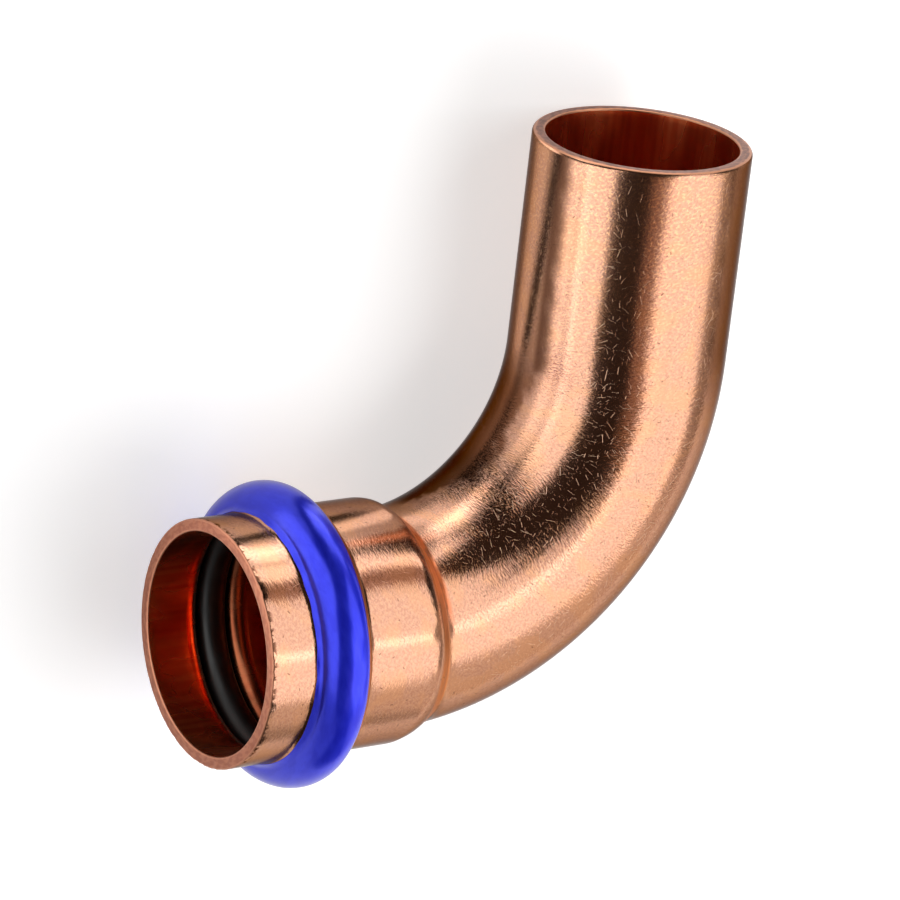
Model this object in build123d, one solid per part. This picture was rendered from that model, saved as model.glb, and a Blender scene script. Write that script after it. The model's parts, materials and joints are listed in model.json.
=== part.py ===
"""A 90 degree press elbow: a press socket with its rolled bead at one port, a plain leg at the other.

The fitting is drawn in its drawing frame first, in millimetres: the two port axes cross at the
origin, the socket opens towards -X and the plain leg points to +Y. At the end every piece is turned
the way the loose fitting lies on a table, on its bead and on the outside of its bend. The origin is
then the centre of the socket's mouth, +Z is up, +X points into the socket as seen from above, and
the plain leg runs towards +Y.
"""
import os
from math import cos, radians, sin, sqrt, tan

from build123d import *

os.makedirs("parts", exist_ok=True)

# The pipe and the plain leg
pipe_diameter = 22.0        # outside diameter of the pipe that goes into the socket
leg_diameter = 22.0         # outside diameter of the leg, which goes into the next fitting
leg_wall = 1.3
leg_length = 22.1           # straight leg, from the end of the bend to the cut end
leg_outer_round = 0.4       # deburred outer edge of the leg's end
leg_inner_chamfer = 0.2     # deburred inner edge of the leg's end

# The bend
bend_radius = 26.0          # radius of the tube's centre line in the bend
bend_lead = 0.35            # straight run between the socket's stop and the start of the bend

# The press socket
pipe_clearance = 0.1        # gap all round between the pipe and the socket's bore
socket_wall = 1.25
insertion_depth = 19.0      # how far the pipe goes in before it lands on the stop
mouth_round = 0.18          # dulled edges of the mouth's cut face

# The shoulder, where the widened socket steps down to the bent tube
shoulder_angle = 34.5       # slope of the step's cone against the socket's axis
shoulder_wall = 1.27        # wall of the cone, measured square to it
shoulder_round = 3.4        # outer rounding from the barrel into the cone
stop_round = 0.8            # inner rounding between the bore and the stop's cone
cone_overlap = 0.6          # depth by which the cone runs on into the bent tube that it joins

# The O-ring and its groove inside the bead
cord_diameter = 3.1         # thickness of the ring's cord
ring_squeeze = 0.05         # the free ring is this much tighter than the pipe all round
groove_play = 0.03          # the groove's radius is this much larger than the cord's
groove_lip_round = 2.2      # rounded lips where the groove opens into the bore
bead_setback = 8.05         # mouth to the middle of the bead
bead_wall = 1.09            # wall over the groove, stretched thin by the rolling
bead_foot_round = 1.0       # hollow rounding where the bead leaves the skirt and the barrel

# The coat that marks the bead
coat_thickness = 0.1
coat_front_setback = 4.9    # mouth to the coat's front edge, at the bead's front foot
coat_rear_setback = 9.5     # mouth to the coat's rear edge, just behind the bead's crest

# Densities in grams per cubic centimetre, for the balance of the lying fitting
copper_density = 8.94
rubber_density = 1.15

# Sizes that follow from the ones above
slope = tan(radians(shoulder_angle))
socket_reach = bend_radius + bend_lead + insertion_depth    # crossing of the port axes to the mouth
leg_reach = bend_radius + leg_length                        # crossing of the port axes to the leg's end
leg_radius = leg_diameter / 2
leg_bore_radius = leg_radius - leg_wall
socket_bore_radius = pipe_diameter / 2 + pipe_clearance
socket_radius = socket_bore_radius + socket_wall
cord_radius = cord_diameter / 2
ring_radius = pipe_diameter / 2 - ring_squeeze + cord_radius
groove_radius = cord_radius + groove_play
groove_center_radius = ring_radius + cord_radius - groove_radius
bead_radius = groove_radius + bead_wall
crest_radius = groove_center_radius + bead_radius
mouth_x = -socket_reach
bead_x = mouth_x + bead_setback
stop_x = mouth_x + insertion_depth
# the outer cone runs parallel to the stop's cone, one wall further out
cone_lag = (shoulder_wall / cos(radians(shoulder_angle)) - socket_wall) / slope


def nearest_corner(face, x, y):
    """The corner of a flat face that lies nearest to a point of its plane."""
    return face.vertices().sort_by_distance((x, y, 0))[0]


def stepped_half_section(barrel_radius, tube_radius, knee_x):
    """Half section under a barrel that steps down over the shoulder's cone and ends inside the tube."""
    end_radius = tube_radius - cone_overlap
    end_x = knee_x + (barrel_radius - end_radius) / slope
    return make_face(
        Polyline(
            (mouth_x, 0),
            (mouth_x, barrel_radius),
            (knee_x, barrel_radius),
            (end_x, end_radius),
            (end_x, 0),
            close=True,
        )
    )


def with_bulge(half_section, barrel_radius, bulge_radius, foot_round):
    """Adds the bead's round bulge to a half section and rounds the two feet where it rises."""
    bulge = Pos(bead_x, groove_center_radius) * Circle(bulge_radius)
    above_barrel = Pos(bead_x, barrel_radius) * Rectangle(
        3 * bulge_radius, 3 * bulge_radius, align=(Align.CENTER, Align.MIN)
    )
    section = half_section + (bulge & above_barrel)
    half_width = sqrt(bulge_radius**2 - (groove_center_radius - barrel_radius) ** 2)
    for foot_x in (bead_x - half_width, bead_x + half_width):
        section = fillet(nearest_corner(section, foot_x, barrel_radius), foot_round)
    return section


def socket_outside(coat=0.0):
    """The socket as if it were solid: skirt, bead, barrel and shoulder, grown by a coat's thickness."""
    knee_x = stop_x + cone_lag
    section = stepped_half_section(socket_radius + coat, leg_radius, knee_x)
    section = fillet(nearest_corner(section, knee_x, socket_radius + coat), shoulder_round)
    section = with_bulge(section, socket_radius + coat, bead_radius + coat, bead_foot_round - coat)
    section = fillet(nearest_corner(section, mouth_x, socket_radius + coat), mouth_round)
    return revolve(section, Axis.X)


def socket_inside():
    """The room inside the socket: the bore with the ring's groove, and the stop's cone."""
    section = stepped_half_section(socket_bore_radius, leg_bore_radius, stop_x)
    section = fillet(nearest_corner(section, stop_x, socket_bore_radius), stop_round)
    section = with_bulge(section, socket_bore_radius, groove_radius, groove_lip_round)
    return revolve(section, Axis.X)


def bent_tube(radius):
    """A solid rod of the given radius along the tube's centre line, from the stop to the leg's end."""
    lead = Line((stop_x, 0, 0), (-bend_radius, 0, 0))
    bend = CenterArc((-bend_radius, bend_radius, 0), bend_radius, -90, 90)
    leg = Line((0, bend_radius, 0), (0, leg_reach, 0))
    section = Plane(origin=(stop_x, 0, 0), z_dir=(1, 0, 0)) * Circle(radius)
    return sweep(section, path=Wire([lead, bend, leg]))


def make_body():
    """The copper body: one tube, widened and rolled at the socket, bent and cut off at the leg."""
    body = socket_outside() + bent_tube(leg_radius) - socket_inside() - bent_tube(leg_bore_radius)
    leg_rims = body.edges().filter_by(GeomType.CIRCLE).group_by(Axis.Y)[-1].sort_by(SortBy.LENGTH)
    body = fillet(leg_rims[-1], leg_outer_round)
    inner_rim = body.edges().filter_by(GeomType.CIRCLE).group_by(Axis.Y)[-1].sort_by(SortBy.LENGTH)[0]
    body = chamfer(inner_rim, leg_inner_chamfer)
    mouth_rims = body.edges().filter_by(GeomType.CIRCLE).group_by(Axis.X)[0].sort_by(SortBy.LENGTH)
    return fillet(mouth_rims[0], mouth_round)


def make_o_ring():
    """The rubber ring, seated against the crest of its groove."""
    cord = Pos(bead_x, ring_radius) * Circle(cord_radius)
    return revolve(cord, Axis.X)


def make_coat():
    """The coat on the bead, a thin skin between two planes square to the socket's axis."""
    front_x = mouth_x + coat_front_setback
    rear_x = mouth_x + coat_rear_setback
    band = Pos((front_x + rear_x) / 2, 0, 0) * Rot(0, 90, 0) * Cylinder(
        crest_radius + 1, rear_x - front_x
    )
    return (socket_outside(coat_thickness) & band) - socket_outside()


def lying_plane(body, ring):
    """The table's plane under the loose fitting, worked out in the drawing frame.

    The fitting touches the table with the lowest point of its coated bead and with the outside of
    its bend, and it tips over the line between those two points until its weight is above it.
    Its upward direction leans by `tilt` away from +Z, towards the bend's radius at `station`.
    """
    copper = body.volume * copper_density
    rubber = ring.volume * rubber_density
    weight = (body.center() * copper + ring.center() * rubber) / (copper + rubber)
    coated_radius = bead_radius + coat_thickness

    def attitude(station):
        reach = -bead_x * cos(station) + bend_radius * (1 - cos(station) + sin(station))
        lean = 0
        for _ in range(20):
            drop = groove_center_radius * sqrt(1 - (lean * cos(station)) ** 2) + coated_radius
            lean = (drop - leg_radius) / reach
        up = Vector(-lean * cos(station), -lean * sin(station), sqrt(1 - lean**2))
        bead_point = Vector(bead_x, 0, 0) - Vector(0, up.Y, up.Z).normalized() * groove_center_radius
        under_bead = bead_point - up * coated_radius
        bend_point = Vector(
            bend_radius * (cos(station) - 1), bend_radius * (sin(station) + 1), 0
        )
        under_bend = bend_point - up * leg_radius
        side = up.cross(under_bend - under_bead)
        return up, side.dot(weight - under_bead)

    # halve the range of stations until the weight is above the line of the two touching points
    low = radians(-80)
    high = radians(-1)
    for _ in range(50):
        middle = (low + high) / 2
        if attitude(middle)[1] * attitude(high)[1] > 0:
            high = middle
        else:
            low = middle
    up = attitude(high)[0]
    into_socket = Vector(1, 0, 0) - up * up.X
    return Plane(origin=(mouth_x, 0, 0), x_dir=into_socket, z_dir=up)


body = make_body()
o_ring = make_o_ring()
coat = make_coat()
table = lying_plane(body, o_ring)

for name, piece in (("elbow_body", body), ("o_ring", o_ring), ("marking_coat", coat)):
    export_step(table.to_local_coords(piece), f"parts/{name}.step")
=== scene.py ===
"""The look of a copper press elbow lying on a pale table.

The fitting is one tube: its wall is one closed profile, carried along the centre line of the
socket, the bend and the leg, and round that line. Lengths are in millimetres until a mesh is
made. The drawing frame has its origin where the two port axes cross, +X into the socket and +Y
out of the leg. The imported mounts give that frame's place on the table.
"""

import json

import bpy
import numpy as np
from mathutils import Matrix, Vector


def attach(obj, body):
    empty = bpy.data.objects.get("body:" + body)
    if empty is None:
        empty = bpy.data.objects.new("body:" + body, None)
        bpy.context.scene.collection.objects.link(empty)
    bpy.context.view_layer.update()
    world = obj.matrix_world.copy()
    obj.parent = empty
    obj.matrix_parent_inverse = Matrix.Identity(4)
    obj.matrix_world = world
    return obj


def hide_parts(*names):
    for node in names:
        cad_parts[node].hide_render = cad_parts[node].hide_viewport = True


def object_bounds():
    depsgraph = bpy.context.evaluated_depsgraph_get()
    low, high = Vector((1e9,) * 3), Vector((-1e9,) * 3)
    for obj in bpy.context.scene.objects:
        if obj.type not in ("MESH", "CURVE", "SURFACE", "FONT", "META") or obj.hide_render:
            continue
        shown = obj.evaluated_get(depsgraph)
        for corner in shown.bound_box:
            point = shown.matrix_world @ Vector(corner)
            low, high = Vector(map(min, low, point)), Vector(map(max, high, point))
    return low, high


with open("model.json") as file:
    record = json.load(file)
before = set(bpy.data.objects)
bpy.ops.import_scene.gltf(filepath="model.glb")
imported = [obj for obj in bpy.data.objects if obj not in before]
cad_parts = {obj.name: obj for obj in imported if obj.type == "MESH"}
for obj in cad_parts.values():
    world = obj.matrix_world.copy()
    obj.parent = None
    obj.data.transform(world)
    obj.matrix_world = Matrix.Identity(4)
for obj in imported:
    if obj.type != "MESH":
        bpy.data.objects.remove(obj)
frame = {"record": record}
bounds_at_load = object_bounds()

MM = 0.001

# Sizes of the fitting, as in the drawing
LEG_RADIUS = 10.995         # five thousandths under the drawing, to stay inside the solid's flats
LEG_BORE_RADIUS = 9.7
LEG_LENGTH = 22.1
LEG_OUTER_ROUND = 0.4
LEG_INNER_ROUND = 0.2
BEND_RADIUS = 26.0
BEND_LEAD = 0.35            # straight run between the stop and the bend
BORE_RADIUS = 11.1
SOCKET_RADIUS = 12.35
MOUTH_ROUND = 0.18
STOP_DEPTH = 19.0           # mouth to the stop's cone
STOP_ROUND = 0.8
SHOULDER_ANGLE = np.radians(34.5)
SHOULDER_WALL = 1.27
SHOULDER_ROUND = 3.4
BEAD_DEPTH = 8.05           # mouth to the middle of the bead
GROOVE_RADIUS = 1.58
GROOVE_CENTER = 12.47       # radius at which the groove's round section is centred
GROOVE_LIP_ROUND = 2.2
BEAD_WALL = 1.09
BEAD_FOOT_ROUND = 1.0
RING_CENTER = 12.5
CORD_RADIUS = 1.55
COAT_FRONT = 4.9            # mouth to the coat's two edges
COAT_REAR = 9.5
COAT_THICKNESS = 0.09

SOCKET_REACH = STOP_DEPTH + BEND_LEAD + BEND_RADIUS     # mouth to the crossing of the port axes
BEND_START = STOP_DEPTH + BEND_LEAD                     # distances along the centre line
BEND_END = BEND_START + BEND_RADIUS * np.pi / 2
LEG_END = BEND_END + LEG_LENGTH

# The saw's tear at the mouth's outer corner, which the solids leave out
TEAR_SWING = 0.42           # the tear is a wander round the corner, this far to each side
TEAR_START = 0.03           # from this level up it is a nick
TEAR_DEPTH = 0.16
TEAR_LEAN = 0.35            # how far it goes towards the bore, as a share of its depth
TEAR_REACH = 0.5            # how far from the corner it fades out
TEAR_LEAST = 0.15           # its share on the side where it is faintest
TEAR_SIDE = np.radians(170)  # where it is deepest, round from the underside

# The coat's two edges, which the solids draw square and even
COAT_FEATHER = 0.15         # how fast the coat thickens from its edge
COAT_LEAST = 0.01           # added to the distance from the edge, so that the edge has a thickness
COAT_SINK = 0.01            # the coat's underside, below the copper's face
COAT_WANDER = 0.08
COAT_WANDER_FADE = 0.5

# Points round the tube and on the wall's rounded corners, and rows of faces that the saw cut: on
# each side of the corner between outside and inside at the leg's rim, and outside at the mouth
ROUNDS = 272
MOUTH_POINTS = 6
LEG_OUTER_POINTS = 9
LEG_INNER_POINTS = 6
LEG_CUT_ROWS = 5
MOUTH_CUT_ROWS = 4

# The body's finishes, in the order of its material slots
TUMBLED, DRAWN, LEG_CUT, MOUTH_CUT = range(4)


def drawing_frame():
    """The drawing frame's place in the row frame, from the two mounts, as a 4 x 4 matrix in metres."""
    mounts = {m["name"]: m for m in frame["record"]["mounts"]}
    into_socket = -Vector(mounts["socket"]["axis"]).normalized()
    along_leg = Vector(mounts["spigot"]["axis"]).normalized()
    square = into_socket.cross(along_leg).normalized()
    along_leg = square.cross(into_socket)
    crossing = Vector(mounts["socket"]["pos_m"]) + into_socket * SOCKET_REACH * MM
    turn = Matrix((into_socket, along_leg, square)).transposed()
    return Matrix.Translation(crossing) @ turn.to_4x4()


DRAWING = drawing_frame()


# Profiles, as rows of (distance from the mouth along the centre line, radius)

def arc(center, radius, start, end, count):
    """Points on a circle's arc, from the start angle to the end angle in degrees."""
    angle = np.radians(np.linspace(start, end, count))
    return np.stack([center[0] + radius * np.cos(angle), center[1] + radius * np.sin(angle)], 1)


def straight(start, end, step=0.8):
    """Evenly spaced points between two points, both ends included, at most a step apart."""
    length = np.hypot(end[0] - start[0], end[1] - start[1])
    share = np.linspace(0, 1, max(2, int(np.ceil(length / step)) + 1))[:, None]
    return np.array(start) * (1 - share) + np.array(end) * share


def bulge(barrel, radius, foot, count):
    """The bead's rise over a barrel: a hollow foot, the round crest and the other foot.

    A foot's circle touches the barrel's line and the crest's circle, so its centre lies one foot
    radius above the line and the two radii's sum away from the crest's centre.
    """
    rise = barrel + foot - GROOVE_CENTER
    width = np.sqrt((radius + foot) ** 2 - rise**2)
    lean = np.degrees(np.arctan2(rise, width))
    front = (BEAD_DEPTH - width, barrel + foot)
    rear = (BEAD_DEPTH + width, barrel + foot)
    return np.concatenate([
        arc(front, foot, -90, -lean, count // 3),
        arc((BEAD_DEPTH, GROOVE_CENTER), radius, 180 - lean, lean, count)[1:],
        arc(rear, foot, 180 + lean, 270, count // 3)[1:],
    ])


def knee(corner, slope_end, radius, count, barrel):
    """A barrel's rounded corner, and the cone that falls away from it at the shoulder's angle.

    The rounding's circle touches both lines, so it starts radius * tan(angle / 2) before their
    corner and turns by the angle.
    """
    reach = radius * np.tan(SHOULDER_ANGLE / 2)
    center = (corner - reach, barrel - radius)
    round_part = arc(center, radius, 90, 90 - np.degrees(SHOULDER_ANGLE), count)
    return np.concatenate([round_part, straight(round_part[-1], slope_end, 0.4)[1:]])


def outer_profile():
    """The outside of the wall, from the mouth's rim to the leg's rim.

    The shoulder's cone lies one shoulder wall outside the stop's, measured square to both, so its
    corner is (wall / cos(angle) - socket radius + bore radius) / tan(angle) behind the stop.
    """
    slope = np.tan(SHOULDER_ANGLE)
    knee_at = STOP_DEPTH + (SHOULDER_WALL / np.cos(SHOULDER_ANGLE) - SOCKET_RADIUS + BORE_RADIUS) / slope
    foot_at = knee_at + (SOCKET_RADIUS - LEG_RADIUS) / slope
    bead = bulge(SOCKET_RADIUS, GROOVE_RADIUS + BEAD_WALL, BEAD_FOOT_ROUND, 45)
    shoulder = knee(knee_at, (foot_at, LEG_RADIUS), SHOULDER_ROUND, 14, SOCKET_RADIUS)
    rim_at = LEG_END - LEG_OUTER_ROUND
    return np.concatenate([
        arc((MOUTH_ROUND, SOCKET_RADIUS - MOUTH_ROUND), MOUTH_ROUND, 180, 90, MOUTH_POINTS),
        straight((MOUTH_ROUND, SOCKET_RADIUS), bead[0])[1:-1],
        bead,
        straight(bead[-1], shoulder[0])[1:-1],
        shoulder,
        straight((foot_at, LEG_RADIUS), (rim_at, LEG_RADIUS))[1:-1],
        arc((rim_at, LEG_RADIUS - LEG_OUTER_ROUND), LEG_OUTER_ROUND, 90, 0, LEG_OUTER_POINTS),
    ])


def inner_profile():
    """The inside of the wall, from the leg's rim back to the mouth's rim.

    The stop's cone ends (bore radius - leg's bore radius) / tan(angle) behind the stop.
    """
    foot_at = STOP_DEPTH + (BORE_RADIUS - LEG_BORE_RADIUS) / np.tan(SHOULDER_ANGLE)
    groove = bulge(BORE_RADIUS, GROOVE_RADIUS, GROOVE_LIP_ROUND, 30)
    stop = knee(STOP_DEPTH, (foot_at, LEG_BORE_RADIUS), STOP_ROUND, 8, BORE_RADIUS)
    rim_at = LEG_END - LEG_INNER_ROUND
    forward = np.concatenate([
        arc((MOUTH_ROUND, BORE_RADIUS + MOUTH_ROUND), MOUTH_ROUND, 180, 270, MOUTH_POINTS),
        straight((MOUTH_ROUND, BORE_RADIUS), groove[0])[1:-1],
        groove,
        straight(groove[-1], stop[0])[1:-1],
        stop,
        straight((foot_at, LEG_BORE_RADIUS), (rim_at, LEG_BORE_RADIUS))[1:-1],
        arc((rim_at, LEG_BORE_RADIUS + LEG_INNER_ROUND), LEG_INNER_ROUND, 270, 360, LEG_INNER_POINTS),
    ])
    return forward[::-1]


def centre_line(along):
    """Centre and inward side of the tube at distances from the mouth, in the drawing frame.

    The line is straight to the bend, turns a quarter circle towards +Y, and is straight again.
    """
    turn = np.clip((along - BEND_START) / BEND_RADIUS, 0, np.pi / 2)
    before = np.minimum(along - BEND_START, 0)
    after = np.maximum(along - BEND_END, 0)
    zero = np.zeros_like(along)
    center = np.stack([
        -BEND_RADIUS + BEND_RADIUS * np.sin(turn) + before,
        BEND_RADIUS - BEND_RADIUS * np.cos(turn) + after,
        zero,
    ], 1)
    return center, np.stack([-np.sin(turn), np.cos(turn), zero], 1)


def uneven(seed, low, high, size):
    """A closed, seeded wander round the tube: sines of whole numbers of waves, at most `size` from 0."""
    chance = np.random.default_rng(seed)
    waves = np.arange(low, high)
    angle = np.linspace(0, 2 * np.pi, ROUNDS, endpoint=False)
    wander = np.sin(np.outer(angle, waves) + chance.uniform(0, 2 * np.pi, len(waves))).sum(1)
    return size * wander / np.abs(wander).max()


def carried_round(name, profile, finishes, shift=None):
    """A closed profile of (distance along, radius) carried round the tube's centre line.

    Point (i, j) is center(s) + r * (cos(a_j) * side(s) + sin(a_j) * Z), where (s, r) is profile
    point i plus shift (i, j). The map holds the length along the profile and the length round a
    tube of the leg's radius, in millimetres; it is cut along the underside.
    """
    count = len(profile)
    shape = np.repeat(profile[:, None, :], ROUNDS, axis=1)
    if shift is not None:
        shape = shape + shift
    center, side = centre_line(shape[:, :, 0].ravel())
    angle = np.tile(np.linspace(-np.pi / 2, 1.5 * np.pi, ROUNDS, endpoint=False), count)[:, None]
    ray = side * np.cos(angle) + np.array([0.0, 0.0, 1.0]) * np.sin(angle)
    points = (center + shape[:, :, 1].reshape(-1, 1) * ray) * MM
    row, column = np.meshgrid(np.arange(count), np.arange(ROUNDS), indexing="ij")
    next_row = (row + 1) % count
    next_column = (column + 1) % ROUNDS
    faces = np.stack([row * ROUNDS + column, row * ROUNDS + next_column,
                      next_row * ROUNDS + next_column, next_row * ROUNDS + column], -1)
    mesh = bpy.data.meshes.new(name)
    mesh.from_pydata(points, [], faces.reshape(-1, 4).tolist())

    steps = np.hypot(*(np.roll(profile, -1, axis=0) - profile).T)
    length = np.concatenate([[0.0], np.cumsum(steps)])
    girth = np.arange(ROUNDS + 1) * 2 * np.pi * LEG_RADIUS / ROUNDS
    along_map = np.stack([length[row], length[row], length[row + 1], length[row + 1]], -1)
    round_map = np.stack([girth[column], girth[column + 1], girth[column + 1], girth[column]], -1)
    skin_map = mesh.uv_layers.new(name="skin")
    skin_map.data.foreach_set("uv", np.stack([along_map, round_map], -1).astype(np.float32).ravel())
    mesh.polygons.foreach_set("material_index", np.repeat(finishes, ROUNDS).astype(np.int32))
    mesh.transform(DRAWING)
    mesh.shade_smooth()
    mesh.update()
    return placed(name, mesh)


def placed(name, data):
    """A new object in the scene, at the origin and unturned."""
    piece = bpy.data.objects.new(name, data)
    bpy.context.scene.collection.objects.link(piece)
    return piece


def elbow_wall():
    """The copper body: outside, leg's rim, inside and mouth's rim, as one closed profile.

    The saw left the mouth's outer corner ragged: there the profile is pushed in along the tube by
    up to the tear's depth, and a third as far towards the bore. The push fades with the square of
    (1 - distance from the corner / reach). Round the tube it falls from the tear's side to its
    least share as 0.5 + 0.5 * cos(angle from that side).
    """
    outside = outer_profile()
    profile = np.concatenate([outside, inner_profile()])
    leg_rim = len(outside)
    finishes = np.full(len(profile), TUMBLED)
    finishes[leg_rim:] = DRAWN
    finishes[leg_rim - LEG_CUT_ROWS:leg_rim + LEG_CUT_ROWS] = LEG_CUT
    finishes[-MOUTH_POINTS:] = MOUTH_CUT
    finishes[:MOUTH_CUT_ROWS] = MOUTH_CUT
    away = np.hypot(*(profile - np.array([0.0, SOCKET_RADIUS])).T)
    near = np.clip(1 - away / TEAR_REACH, 0, 1) ** 2
    angle = np.linspace(0, 2 * np.pi, ROUNDS, endpoint=False)
    facing = 0.5 + 0.5 * np.cos(angle - TEAR_SIDE)
    tear = np.clip(uneven(4, 12, 130, TEAR_SWING) - TEAR_START, 0, TEAR_DEPTH)
    tear = tear * (TEAR_LEAST + (1 - TEAR_LEAST) * facing)
    shift = near[:, None, None] * tear[None, :, None] * np.array([1.0, -TEAR_LEAN])
    return carried_round("elbow_wall", profile, finishes, shift)


def sealing_ring():
    """The O-ring, a round cord bent to a ring in its groove."""
    profile = arc((BEAD_DEPTH, RING_CENTER), CORD_RADIUS, 360, 0, 49)[:-1]
    return carried_round("sealing_ring", profile, np.zeros(len(profile), int))


def bead_coat():
    """The coat: the bead's own curve, raised by the coat's thickness and feathered at both edges.

    The thickness is its full value times (1 - e**(-(d + least) / feather)), with d the distance to
    the nearer edge. The underside is the same curve sunk a hundredth of a millimetre into the
    copper. Each edge wanders along the curve, which fades inwards as e**(-d / fade).
    """
    bead = bulge(SOCKET_RADIUS, GROOVE_RADIUS + BEAD_WALL, BEAD_FOOT_ROUND, 90)
    curve = bead[(bead[:, 0] > COAT_FRONT) & (bead[:, 0] < COAT_REAR)]
    slope = np.gradient(curve, axis=0)
    normal = np.stack([-slope[:, 1], slope[:, 0]], 1) / np.hypot(slope[:, 0], slope[:, 1])[:, None]
    from_front = curve[:, 0] - COAT_FRONT
    from_rear = COAT_REAR - curve[:, 0]
    inwards = np.minimum(from_front, from_rear) + COAT_LEAST
    raised = curve + normal * (COAT_THICKNESS * (1 - np.exp(-inwards / COAT_FEATHER)))[:, None]
    sunk = curve - normal * COAT_SINK
    tangent = np.stack([normal[:, 1], -normal[:, 0]], 1)
    front = np.exp(-from_front / COAT_WANDER_FADE)[:, None] * uneven(7, 2, 34, COAT_WANDER)
    rear = np.exp(-from_rear / COAT_WANDER_FADE)[:, None] * uneven(8, 2, 34, COAT_WANDER)
    drift = (front + rear)[:, :, None] * tangent[:, None, :]
    profile = np.concatenate([raised, sunk[::-1]])
    shift = np.concatenate([drift, drift[::-1]])
    return carried_round("bead_coat", profile, np.zeros(len(profile), int), shift)


# Materials. All of them read the skin map, in millimetres. On the body its X starts at the mouth
# and runs along the outside: the coat ends at 11, the bead at 14.3, the shoulder's cone lies from
# 23.1 to 24.5, the bend ends at 63.3 and the leg's face at 84.2. X comes back along the inside:
# the stop's cone lies from 147.7 to 150.4, the groove from 157.4 to 167.6. Y starts on the
# underside, and is 17.3 on the bend's inner side, 34.5 on top and 51.8 on the outer side.

LEG_RIM = 85.95             # X in the middle of each of the two rims
MOUTH_RIM = 172.5

# A Mix node's two colour inputs and its colour output, which share their names with other sockets
UNDER, OVER, MIXED = 6, 7, 2


def shade(code):
    """An sRGB hex code such as #b87333 as linear red, green, blue and alpha."""
    value = np.array([int(code[i:i + 2], 16) for i in (1, 3, 5)]) / 255
    linear = np.where(value <= 0.04045, value / 12.92, ((value + 0.055) / 1.055) ** 2.4)
    return (*linear.tolist(), 1.0)


def add(tree, kind, inputs=None, **settings):
    """Adds a node to a tree. Each input is a plain value or the output that feeds it."""
    node = tree.nodes.new(kind)
    for name, value in settings.items():
        setattr(node, name, value)
    for socket, value in (inputs or {}).items():
        if isinstance(value, bpy.types.NodeSocket):
            tree.links.new(value, node.inputs[socket])
        else:
            node.inputs[socket].default_value = value
    return node


def blank(name):
    """A new material and its empty tree."""
    material = bpy.data.materials.new(name)
    material.use_nodes = True
    material.node_tree.nodes.clear()
    return material, material.node_tree


def skin(tree):
    """The place on the skin map in millimetres, X along the tube and Y round it."""
    return add(tree, "ShaderNodeUVMap", uv_map="skin").outputs["UV"]


def total(tree, parts, start=0.0):
    """A start value plus the sum of outputs, each times its own weight."""
    result = start
    for output, weight in parts:
        step = add(tree, "ShaderNodeMath", {0: output, 1: weight, 2: result}, operation="MULTIPLY_ADD")
        result = step.outputs[0]
    return result


def product(tree, first, *others):
    """Outputs or plain values multiplied with each other."""
    result = first
    for other in others:
        result = add(tree, "ShaderNodeMath", {0: result, 1: other}, operation="MULTIPLY").outputs[0]
    return result


def band(tree, value, *edges):
    """1 where a value is inside soft edges, 0 beyond them; an edge is (where it is 0, where it is 1)."""
    return product(tree, *[
        add(tree, "ShaderNodeMapRange", {"Value": value, "From Min": outer, "From Max": inner},
            interpolation_type="SMOOTHSTEP").outputs["Result"]
        for outer, inner in edges])


def layered(tree, ground, layers):
    """A ground colour with others laid over it in turn, each by its own share."""
    color = shade(ground)
    for share, tone in layers:
        over = shade(tone) if isinstance(tone, str) else tone
        laid = add(tree, "ShaderNodeMix", {"Factor": share, UNDER: color, OVER: over}, data_type="RGBA")
        color = laid.outputs[MIXED]
    return color


def relief(tree, parts):
    """The normal of a surface raised by outputs, each times its own height in millimetres."""
    return add(tree, "ShaderNodeBump", {
        "Strength": 1.0, "Distance": MM, "Height": total(tree, parts)}).outputs["Normal"]


def strokes(tree, place, turn, along_rate, round_rate, detail=2.0):
    """A field of blade-like marks: one noise, turned by degrees and then stretched.

    The two rates say how many marks lie in a millimetre along the tube and round it.
    """
    turned = add(tree, "ShaderNodeMapping", {"Vector": place, "Rotation": (0, 0, np.radians(turn))})
    laid = add(tree, "ShaderNodeVectorMath", {
        0: turned.outputs[0], 1: (along_rate, round_rate, 1.0)}, operation="MULTIPLY")
    noise = add(tree, "ShaderNodeTexNoise", {"Vector": laid.outputs[0], "Scale": 1.0, "Detail": detail},
                noise_dimensions="2D")
    return noise.outputs["Fac"]


def scratches(tree, place, cell, length, width, share, shift):
    """Straight hairlines, one to a random cell, each turned its own way; `share` of the cells have one.

    In a cell's own frame, turned by the cell's chance angle, the line is where |x| < length / 2
    times a chance share, and it fades out from y = 0 to |y| = width / 2.
    """
    moved = add(tree, "ShaderNodeVectorMath", {0: place, 1: (shift, shift, 0.0)}).outputs[0]
    cells = add(tree, "ShaderNodeTexVoronoi", {"Vector": moved, "Scale": 1 / cell}, voronoi_dimensions="2D")
    chance = add(tree, "ShaderNodeSeparateColor", {"Color": cells.outputs["Color"]}).outputs
    local = add(tree, "ShaderNodeVectorMath", {0: moved, 1: cells.outputs["Position"]}, operation="SUBTRACT")
    turned = add(tree, "ShaderNodeVectorRotate", {
        "Vector": local.outputs[0], "Angle": product(tree, chance["Red"], 2 * np.pi)},
        rotation_type="Z_AXIS")
    axes = add(tree, "ShaderNodeSeparateXYZ", {"Vector": turned.outputs[0]}).outputs
    x, y = (add(tree, "ShaderNodeMath", {0: axes[name]}, operation="ABSOLUTE").outputs[0] for name in "XY")
    reach = product(tree, chance["Blue"], length / 2)
    ends = add(tree, "ShaderNodeMath", {0: x, 1: reach}, operation="LESS_THAN").outputs[0]
    kept = add(tree, "ShaderNodeMath", {0: chance["Green"], 1: share}, operation="LESS_THAN").outputs[0]
    return product(tree, ends, band(tree, y, (width / 2, 0.0)), kept)


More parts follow.
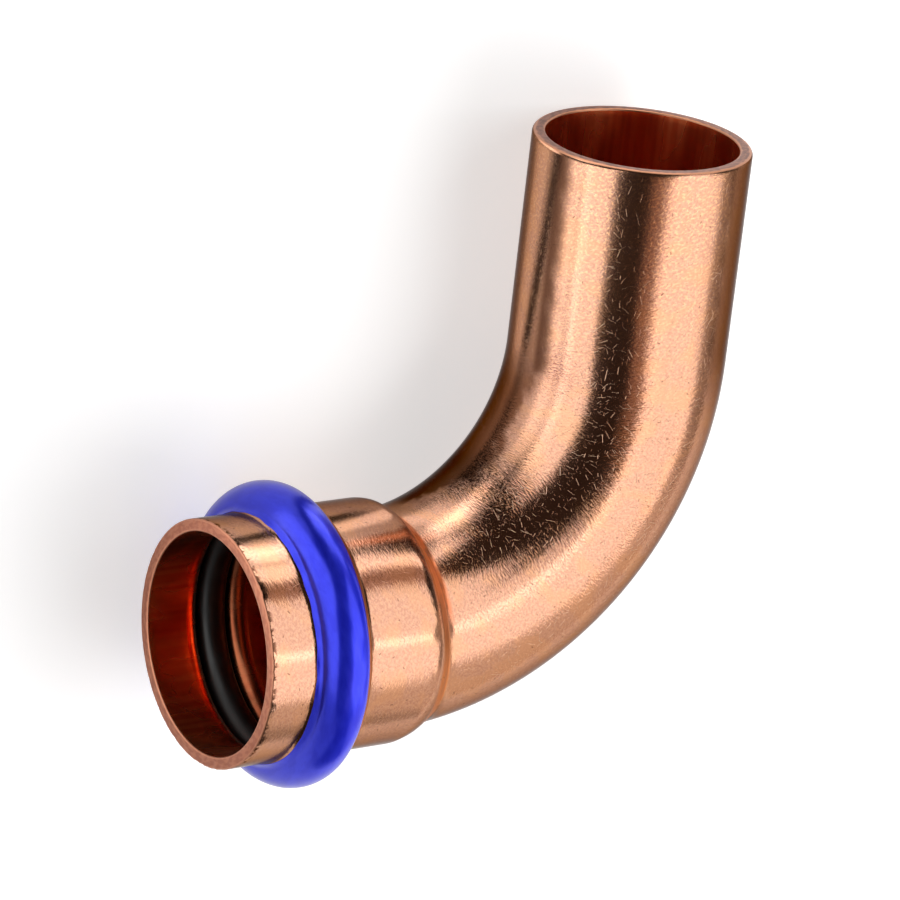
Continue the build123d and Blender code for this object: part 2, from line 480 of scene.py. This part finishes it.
def polished_copper():
    """Copper tube, cold drawn, bent and tumbled bright.

    The eye sees a warm mirror, broken up by short blade-like marks that run round the tube, and by
    fine pale hairlines on the bend. The leg is smoother and has more grain, with pale flecks that are
    painted glints. Painted dark reflection, in brown, lies on the bend's inner side and the leg's two
    sides, and the shoulder's cone is dull and orange, the orange painted reflection of the bend's glow.
    """
    material, tree = blank("copper, drawn and tumbled bright")
    place = skin(tree)
    axes = add(tree, "ShaderNodeSeparateXYZ", {"Vector": place}).outputs
    along, girth = axes["X"], axes["Y"]
    leg = band(tree, along, (54.0, 82.0))
    worn = band(tree, along, (20.0, 36.0), (96.0, 76.0))

    # Blade marks, a quarter of a millimetre wide and a millimetre long, slanted both ways
    blades = total(tree, [
        (strokes(tree, place, 24, 4.0, 0.9), 0.0145),
        (strokes(tree, place, -22, 4.5, 1.0), 0.0145),
        (strokes(tree, place, 4, 8.0, 1.5, 0.0), 0.010),
    ])
    # Hairlines up to 1.7, 1.0 and 0.5 mm long, and pits of a third of a millimetre. Real hairlines
    # are too fine to show, so these are drawn 0.05 mm wide
    long_hairs = scratches(tree, place, 1.2, 1.7, 0.045, 0.42, 0.0)
    short_hairs = scratches(tree, place, 0.7, 1.0, 0.05, 0.5, 31.7)
    tiny_hairs = scratches(tree, place, 0.45, 0.5, 0.05, 0.4, 77.3)
    pits = scratches(tree, place, 1.6, 0.34, 0.16, 0.5, 12.4)
    hairs = total(tree, [(long_hairs, -0.010), (short_hairs, -0.007), (pits, -0.006), (tiny_hairs, -0.005)])
    # Grain from the tumbling, a fifth of a millimetre by two fifths
    grain = total(tree, [
        (strokes(tree, place, 50, 5.6, 2.8), 0.5),
        (strokes(tree, place, -40, 5.0, 2.6), 0.5),
    ])
    # Shallow waves 8 mm long, which leave each reflection's edge a little uneven
    waves = strokes(tree, place, 0, 0.12, 0.12, 1.0)
    normal = relief(tree, [
        (blades, total(tree, [(worn, 0.55), (leg, -0.8)], 0.4)),
        (hairs, product(tree, total(tree, [(worn, 0.8)], 0.2), total(tree, [(leg, -0.5)], 1.0))),
        (grain, total(tree, [(leg, 0.007)], 0.003)),
        (waves, 0.06),
    ])

    # Stains 3 to 5 mm across, and bright flecks of a quarter of a millimetre, mostly on the leg, which are
    # painted glints
    stains = product(tree, band(tree, strokes(tree, place, 10, 0.30, 0.22, 4.0), (0.46, 0.64)), 0.7)
    painted_glints = product(tree, band(tree, strokes(tree, place, 20, 4.2, 2.6, 1.0), (0.5, 0.7)),
                     total(tree, [(leg, 0.7)], 0.25))
    # The cone and the bead's rear flank, rubbed dull in smears and warmer orange; on the cone that orange is
    # also painted reflection of the bend's glow
    cone = band(tree, along, (22.6, 23.2), (24.7, 24.4))
    flank = band(tree, along, (10.8, 11.2), (14.0, 13.4))
    rubbed = total(tree, [(cone, 1.0), (flank, 1.0)])
    smears = band(tree, strokes(tree, place, 0, 1.2, 0.3, 4.0), (0.3, 0.6))
    rubbed_tone_and_painted_glow = product(tree, rubbed, total(tree, [(smears, 0.35)], 0.6))
    # Hairlines show paler metal, the pits hold dirt, and the mouth's outer corner is darker in ragged dashes
    fresh = product(tree, total(tree, [(long_hairs, 1.0), (short_hairs, 0.8)]),
                    total(tree, [(worn, 0.6)], 0.2))
    burr = product(tree, band(tree, along, (0.75, 0.35)),
                   band(tree, strokes(tree, place, 0, 1.2, 2.0), (0.5, 0.6)), 0.9)
    dark_pits_and_dashes = add(tree, "ShaderNodeMath", {0: product(tree, pits, 0.8), 1: burr}, operation="MAXIMUM")

    # Painted dark reflection in brown, darkest at the bend's start: the base colour darkened where the
    # copper mirrors shade. Its ragged upper edge lies where the level, the place round the tube shifted
    # along the bend and the leg, is 16. On the leg it is full only near that edge, and half below it.
    # A second strip of painted dark reflection lies on the leg's upper outer side.
    past = band(tree, along, (56.0, 66.0))
    ragged = product(tree, total(tree, [(strokes(tree, place, 20, 0.35, 0.5, 5.0), 4.0)], -2.0),
                     total(tree, [(past, -0.6)], 1.0))
    level = total(tree, [
        (band(tree, along, (34.0, 41.0)), -2.2), (past, -1.9), (girth, 1.0), (ragged, 1.0)])
    thinner = total(tree, [(product(tree, past, band(tree, girth, (19.0, 18.0))), -0.5)], 1.0)
    inner_painted_reflection = product(tree, band(tree, girth, (1.0, 7.0)), band(tree, level, (17.5, 14.9)), thinner,
                     band(tree, along, (25.0, 31.0)))
    outer_painted_reflection = product(tree, past, 0.78, band(tree, girth, (50.0, 44.0)),
                      band(tree, total(tree, [(girth, 1.0), (ragged, 1.0)]), (37.4, 39.2)))
    strength = total(tree, [(band(tree, along, (38.0, 46.0)), 0.05)], 0.92)
    painted_dark_reflection = total(tree, [(inner_painted_reflection, strength), (outer_painted_reflection, 1.0)])
    painted_reflection_tone = layered(tree, "#523322", [(band(tree, along, (40.0, 48.0)), "#7d513a"), (past, "#6b4735")])

    # Painted reflection: the bend's orange glow, as the cone mirrors it, painted orange between the cone's
    # inner side and its top, in clouds of 1 to 2 mm; there the copper is also less metallic
    clouds = band(tree, strokes(tree, place, 0, 0.9, 0.5), (0.32, 0.55))
    painted_orange_glow = product(tree, band(tree, along, (21.6, 22.6), (25.6, 24.9)),
                   band(tree, girth, (16.5, 20.0), (33.0, 27.0)), total(tree, [(clouds, 0.35)], 0.65))

    color = layered(tree, "#be8b73", [
        (band(tree, grain, (0.38, 0.62)), "#cc9b81"),
        (stains, "#cf9875"),
        # painted glints
        (painted_glints, "#e6b088"),
        # rubbed tone, and on the cone painted orange reflection
        (rubbed_tone_and_painted_glow, "#ea9866"),
        (fresh, "#f6d6b8"),
        (dark_pits_and_dashes.outputs[0], "#5a3524"),
        # painted dark reflection, in brown
        (painted_dark_reflection, painted_reflection_tone),
        # painted orange reflection of the bend's glow on the cone
        (painted_orange_glow, "#f0834c"),
    ])
    surface = add(tree, "ShaderNodeBsdfPrincipled", {
        "Base Color": color, "Metallic": total(tree, [(painted_orange_glow, -0.6)], 1.0),
        "Roughness": total(tree, [(band(tree, along, (52.0, 82.0)), 0.045), (rubbed, 0.24)], 0.16),
        "Specular Tint": shade("#a09a98"), "Normal": normal})
    add(tree, "ShaderNodeOutputMaterial", {"Surface": surface.outputs["BSDF"]})
    return material


def blue_lacquer():
    """Blue marking lacquer, sprayed over the bead in a thin glossy coat.

    The eye sees a deep even blue with a soft sheen under the gloss, in flow waves of 2 to 4 mm.
    """
    material, tree = blank("blue lacquer, sprayed over copper")
    place = skin(tree)
    normal = relief(tree, [
        (strokes(tree, place, 8, 0.5, 0.28, 1.0), 0.05), (strokes(tree, place, 0, 3.0, 2.0), 0.003)])
    clouds = band(tree, strokes(tree, place, 15, 1.1, 0.5, 4.0), (0.35, 0.65))
    surface = add(tree, "ShaderNodeBsdfPrincipled", {
        "Base Color": layered(tree, "#2630ea", [(clouds, "#2e39f4")]),
        "Metallic": 0.45, "Roughness": 0.28, "Specular IOR Level": 0.3, "Specular Tint": shade("#4a4ab0"),
        "Coat Weight": 0.7, "Coat Roughness": 0.2, "Coat IOR": 1.42,
        "Normal": normal, "Coat Normal": normal})
    add(tree, "ShaderNodeOutputMaterial", {"Surface": surface.outputs["BSDF"]})
    return material


def drawn_bore():
    """The bore as the draw left it.

    The eye sees copper that is redder and duller than outside, with faint lines along the tube,
    0.7 mm apart. Round the groove's rear lip it is dark: painted shade in the recess behind the ring, with
    the ring's grease.
    """
    material, tree = blank("copper, drawn bore")
    place = skin(tree)
    along = add(tree, "ShaderNodeSeparateXYZ", {"Vector": place}).outputs["X"]
    lines = strokes(tree, place, 0, 0.06, 1.4, 0.0)
    # painted shade in the recess behind the ring, with the ring's grease
    grease_and_painted_shade = product(tree, band(tree, along, (154.6, 155.6), (161.5, 160.5)), 0.9)
    dull = band(tree, strokes(tree, place, 0, 0.15, 0.3, 1.0), (0.35, 0.65))
    surface = add(tree, "ShaderNodeBsdfPrincipled", {
        "Base Color": layered(tree, "#ea7f4c", [
            (band(tree, lines, (0.35, 0.65)), "#f6965f"), (grease_and_painted_shade, "#5c3022")]),
        "Metallic": 1.0, "Roughness": total(tree, [(dull, 0.06)], 0.22),
        "Normal": relief(tree, [(lines, 0.0012)])})
    add(tree, "ShaderNodeOutputMaterial", {"Surface": surface.outputs["BSDF"]})
    return material


def cut_copper(name, middle, half, dull, dark, edge, roughness):
    """A rim cut square, whose middle lies at a place along the skin and whose face is 2 * half wide.

    The eye sees fine tool lines that run round it, a dull patchy middle and two brighter edges.
    """
    material, tree = blank(name)
    place = skin(tree)
    along = add(tree, "ShaderNodeSeparateXYZ", {"Vector": place}).outputs["X"]
    tool_lines = strokes(tree, place, 0, 14.0, 0.25)
    patches = strokes(tree, place, 0, 2.4, 1.3, 3.0)
    from_middle = add(tree, "ShaderNodeMath", {
        0: total(tree, [(along, 1.0)], -middle)}, operation="ABSOLUTE").outputs[0]
    ragged = total(tree, [(from_middle, 1.0), (patches, 0.3)], -0.15)
    surface = add(tree, "ShaderNodeBsdfPrincipled", {
        "Base Color": layered(tree, dark, [
            (band(tree, patches, (0.4, 0.62)), dull),
            (band(tree, ragged, (half * 0.8, half * 1.15)), edge)]),
        "Metallic": 1.0, "Roughness": roughness,
        "Normal": relief(tree, [(tool_lines, 0.006), (strokes(tree, place, 40, 3.0, 2.4), 0.012)])})
    add(tree, "ShaderNodeOutputMaterial", {"Surface": surface.outputs["BSDF"]})
    return material


def moulded_rubber():
    """EPDM rubber, moulded and then greased.

    The eye sees a deep black satin face, cloudy where the thin grease lies thicker, with pores of
    a sixth of a millimetre.
    """
    material, tree = blank("black EPDM rubber, moulded and greased")
    place = skin(tree)
    grease = band(tree, strokes(tree, place, 0, 0.4, 0.3, 3.0), (0.35, 0.65))
    surface = add(tree, "ShaderNodeBsdfPrincipled", {
        "Base Color": layered(tree, "#050505", [(grease, "#0a0a0b")]),
        "Specular IOR Level": 0.3, "Roughness": total(tree, [(grease, 0.12)], 0.36),
        "Normal": relief(tree, [(strokes(tree, place, 0, 6.0, 6.0), 0.004)])})
    add(tree, "ShaderNodeOutputMaterial", {"Surface": surface.outputs["BSDF"]})
    return material


body = elbow_wall()
ring = sealing_ring()
coat = bead_coat()
for finish in (
    polished_copper(),
    drawn_bore(),
    cut_copper("copper, leg's rim, cut and deburred", LEG_RIM, 0.38,
               dull="#9a644e", dark="#744837", edge="#be8566", roughness=0.34),
    cut_copper("copper, mouth's rim, sawn", MOUTH_RIM, 0.45,
               dull="#ab7057", dark="#9a604b", edge="#b47a60", roughness=0.46),
):
    body.data.materials.append(finish)
ring.data.materials.append(moulded_rubber())
coat.data.materials.append(blue_lacquer())
for piece, node, slot in ((body, "elbow_body", "copper"), (ring, "o_ring", "rubber"),
                          (coat, "marking_coat", "blue_coat")):
    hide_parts(node)
    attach(piece, "root")


# Table, cards, lamps and camera

TABLE_HALF = 3.0                            # metres
TABLE_HEIGHT = bounds_at_load[0][2]         # the fitting's lowest point, in metres
CAMERA_LIFT = 0.6                           # glow that makes the table white to the camera
MIRROR_LIFT = 0.45                          # and pale in what the copper mirrors
CARD_LIFT = 0.2                             # millimetres between the table and a lying card
MIDDLE = Vector((0.027, 0.017, -0.002))     # what the lamps face, in metres

# The camera in the drawing frame, in millimetres, with its turn round the view in degrees
EYE = (-323.67, 209.66, 424.62)
AIM = (-10.01, 11.64, -12.46)
CAMERA_ROLL = 6.6
SENSOR_WIDTH = 36.0
LENS = 225.3


def white_table():
    """A wide pale table under the lying fitting, white to the camera but for the fitting's shadow."""
    mesh = bpy.data.meshes.new("table")
    mesh.from_pydata([(x * TABLE_HALF, y * TABLE_HALF, TABLE_HEIGHT)
                      for x, y in ((-1, -1), (1, -1), (1, 1), (-1, 1))], [], [(0, 1, 2, 3)])
    material, tree = blank("matt white card")
    paper = add(tree, "ShaderNodeBsdfPrincipled", {
        "Base Color": shade("#d8d8d8"), "Roughness": 0.9, "Specular IOR Level": 0.1})
    path = add(tree, "ShaderNodeLightPath").outputs
    mirrored = add(tree, "ShaderNodeMath", {
        0: path["Is Glossy Ray"], 1: path["Is Transmission Ray"]}, operation="MAXIMUM")
    lift = total(tree, [(path["Is Camera Ray"], CAMERA_LIFT), (mirrored.outputs[0], MIRROR_LIFT)])
    glow = add(tree, "ShaderNodeEmission", {"Color": (1, 1, 1, 1), "Strength": lift})
    both = add(tree, "ShaderNodeAddShader", {0: paper.outputs[0], 1: glow.outputs[0]})
    add(tree, "ShaderNodeOutputMaterial", {"Surface": both.outputs[0]})
    mesh.materials.append(material)
    placed("table", mesh)


def lying(*corners):
    """The corners (x, y) of a card that lies just off the table, with their height."""
    return [(x, y, CARD_LIFT) for x, y in corners]


def card(name, corners, color, glow=0.0):
    """A card seen only in mirroring things; its corners are x, y and height over the table."""
    mesh = bpy.data.meshes.new(name)
    mesh.from_pydata([(x * MM, y * MM, TABLE_HEIGHT + z * MM) for x, y, z in corners],
                     [], [tuple(range(len(corners)))])
    material, tree = blank(name)
    matt = add(tree, "ShaderNodeBsdfDiffuse", {"Color": shade(color)})
    lit = add(tree, "ShaderNodeEmission", {"Color": (1, 1, 1, 1), "Strength": glow})
    both = add(tree, "ShaderNodeAddShader", {0: matt.outputs[0], 1: lit.outputs[0]})
    add(tree, "ShaderNodeOutputMaterial", {"Surface": both.outputs[0]})
    mesh.materials.append(material)
    piece = placed(name, mesh)
    piece.visible_camera = False
    piece.visible_diffuse = False
    piece.visible_shadow = False


def softbox(name, azimuth, elevation, width, height, brightness, color="#ffffff", distance=0.6,
            mirrored=True, lighting=True):
    """A rectangular lamp that faces the fitting. Brightness is what a mirror would show of it.

    It hangs at its azimuth and elevation, in degrees, and its distance from the fitting's middle,
    in metres like its sizes. Its power is brightness * pi * area. A lamp that isn't lighting is
    only mirrored, and one that isn't mirrored only lights matt things.
    """
    a, e = np.radians(azimuth), np.radians(elevation)
    away = Vector((np.cos(e) * np.cos(a), np.cos(e) * np.sin(a), np.sin(e)))
    lamp = bpy.data.lights.new(name, "AREA")
    lamp.shape = "RECTANGLE"
    lamp.size = width
    lamp.size_y = height
    lamp.energy = brightness * np.pi * width * height
    lamp.color = shade(color)[:3]
    piece = placed(name, lamp)
    piece.rotation_mode = "QUATERNION"
    piece.rotation_quaternion = away.to_track_quat("Z", "Y")
    piece.location = MIDDLE + away * distance
    piece.visible_camera = False
    piece.visible_glossy = mirrored
    piece.visible_diffuse = lighting


def studio_world():
    """The dim room beyond the lamps: white to matt things, warm and nearly dark in the metal."""
    world = bpy.data.worlds.new("studio")
    world.use_nodes = True
    tree = world.node_tree
    tree.nodes.clear()
    path = add(tree, "ShaderNodeLightPath").outputs
    room = add(tree, "ShaderNodeBackground", {"Color": shade("#ffffff"), "Strength": 0.16})
    dim = add(tree, "ShaderNodeBackground", {"Color": shade("#ffd8c0"), "Strength": 0.03})
    surround = add(tree, "ShaderNodeMixShader", {
        0: path["Is Glossy Ray"], 1: room.outputs[0], 2: dim.outputs[0]})
    add(tree, "ShaderNodeOutputWorld", {"Surface": surround.outputs[0]})
    bpy.context.scene.world = world


def photo_camera():
    """The photograph's camera: a long lens that looks down on the fitting, its leg upright in view.

    The view's upright is the leg's direction less its part along the line of sight, turned by the
    roll.
    """
    eye = DRAWING @ (Vector(EYE) * MM)
    aim = DRAWING @ (Vector(AIM) * MM)
    forward = (aim - eye).normalized()
    leg_up = DRAWING.to_3x3() @ Vector((0, 1, 0))
    upright = (leg_up - forward * leg_up.dot(forward)).normalized()
    across = forward.cross(upright)
    turn = Matrix((across, upright, -forward)).transposed()
    roll = Matrix.Rotation(np.radians(CAMERA_ROLL), 3, "Z")
    lens = bpy.data.cameras.new("camera")
    lens.sensor_width = SENSOR_WIDTH
    lens.lens = LENS
    camera = placed("camera", lens)
    camera.matrix_world = Matrix.Translation(eye) @ (turn @ roll).to_4x4()
    bpy.context.scene.camera = camera


white_table()

# The two large lamps: the light patches on the socket and on the start of the bend, and the broad
# light band along the bend's outer side and the leg's right half
softbox("over_right", 33, 45.5, 0.50, 0.36, 1.68)
softbox("over_left", -29, 57, 0.42, 0.44, 1.85)

# The half-tones on the bend's lower outer flank and at the leg's right edge, and the narrow bright
# line at that edge
softbox("side_mid", -45, 18.5, 0.42, 0.40, 0.55, "#fff6ea")
softbox("side_dim", -25, 18, 0.75, 0.42, 0.4, "#fff2e6")
softbox("side_high", -21, 28.5, 0.22, 0.17, 1.3, lighting=False)

# The light tongue in the middle of the bend's outer part, and the warm half-tone on the leg
# between its dark band and its right light band
softbox("over_top", 25, 71, 0.22, 0.22, 1.3, lighting=False)
softbox("over_side", -78, 68, 0.30, 0.30, 0.38, "#ffd0b4")

# The leg's left light band down into the bend with the highlight on the coat's crest, and the
# dimmer light low on the coat
softbox("left_low", 169, 25.0, 0.224, 0.096, 1.9, distance=0.15, lighting=False)
softbox("front_dim", -130, 18, 0.45, 0.36, 0.5, lighting=False)

# The light patches near the top of the skirt, the barrel and the bend's start, and the warm
# half-tone just below them
softbox("top_low", 64, 4.5, 0.45, 0.17, 2.1, lighting=False)
softbox("gap_dim", 50, 19, 0.17, 0.20, 0.45, "#ffd8c4", lighting=False)

# Small lamps close by, each mirrored only by the metal near it: the left part of the leg's left
# band with the upper coat and the mouth's rim, and the thin light strip on the top of the skirt
# and the barrel, which the last one carries on into the bend's start
softbox("left_near", 178, -1, 0.053, 0.030, 1.15, distance=0.044, lighting=False)
softbox("top_near", 82, -7.6, 0.046, 0.013, 1.6, distance=0.057, lighting=False)
softbox("top_foot", 98, -16.7, 0.020, 0.009, 2.3, distance=0.036, lighting=False)

# Soft daylight on matt things, which the metal doesn't mirror
softbox("fill", -35, 48, 0.8, 0.8, 2.1, distance=0.9, mirrored=False)

# The dark card lies in the crook and stands up at its far end: the dark arm across the inner bend,
# the dark streak on the leg's left side and the dark strip on the skirt's top
FOLD_RIGHT = (4.7, 76.7)
FOLD_LEFT = (-14.1, 65.3)
card("dark_card_lying", lying((23, 21.2), (26.4, 23.2), FOLD_RIGHT, FOLD_LEFT), "#181310")
card("dark_card_standing",
     [(*FOLD_RIGHT, 0), (*FOLD_LEFT, 0), (*FOLD_LEFT, 45), (*FOLD_RIGHT, 45)], "#181310")

# The glowing card beside it: the light strip on the leg's left side and on the barrel's top
card("white_card_lying", lying((27.5, 21.5), (32, 23), (32, 46), (22.5, 46)), "#101010", glow=1.7)

studio_world()
bpy.context.scene.view_settings.view_transform = "Standard"
photo_camera()
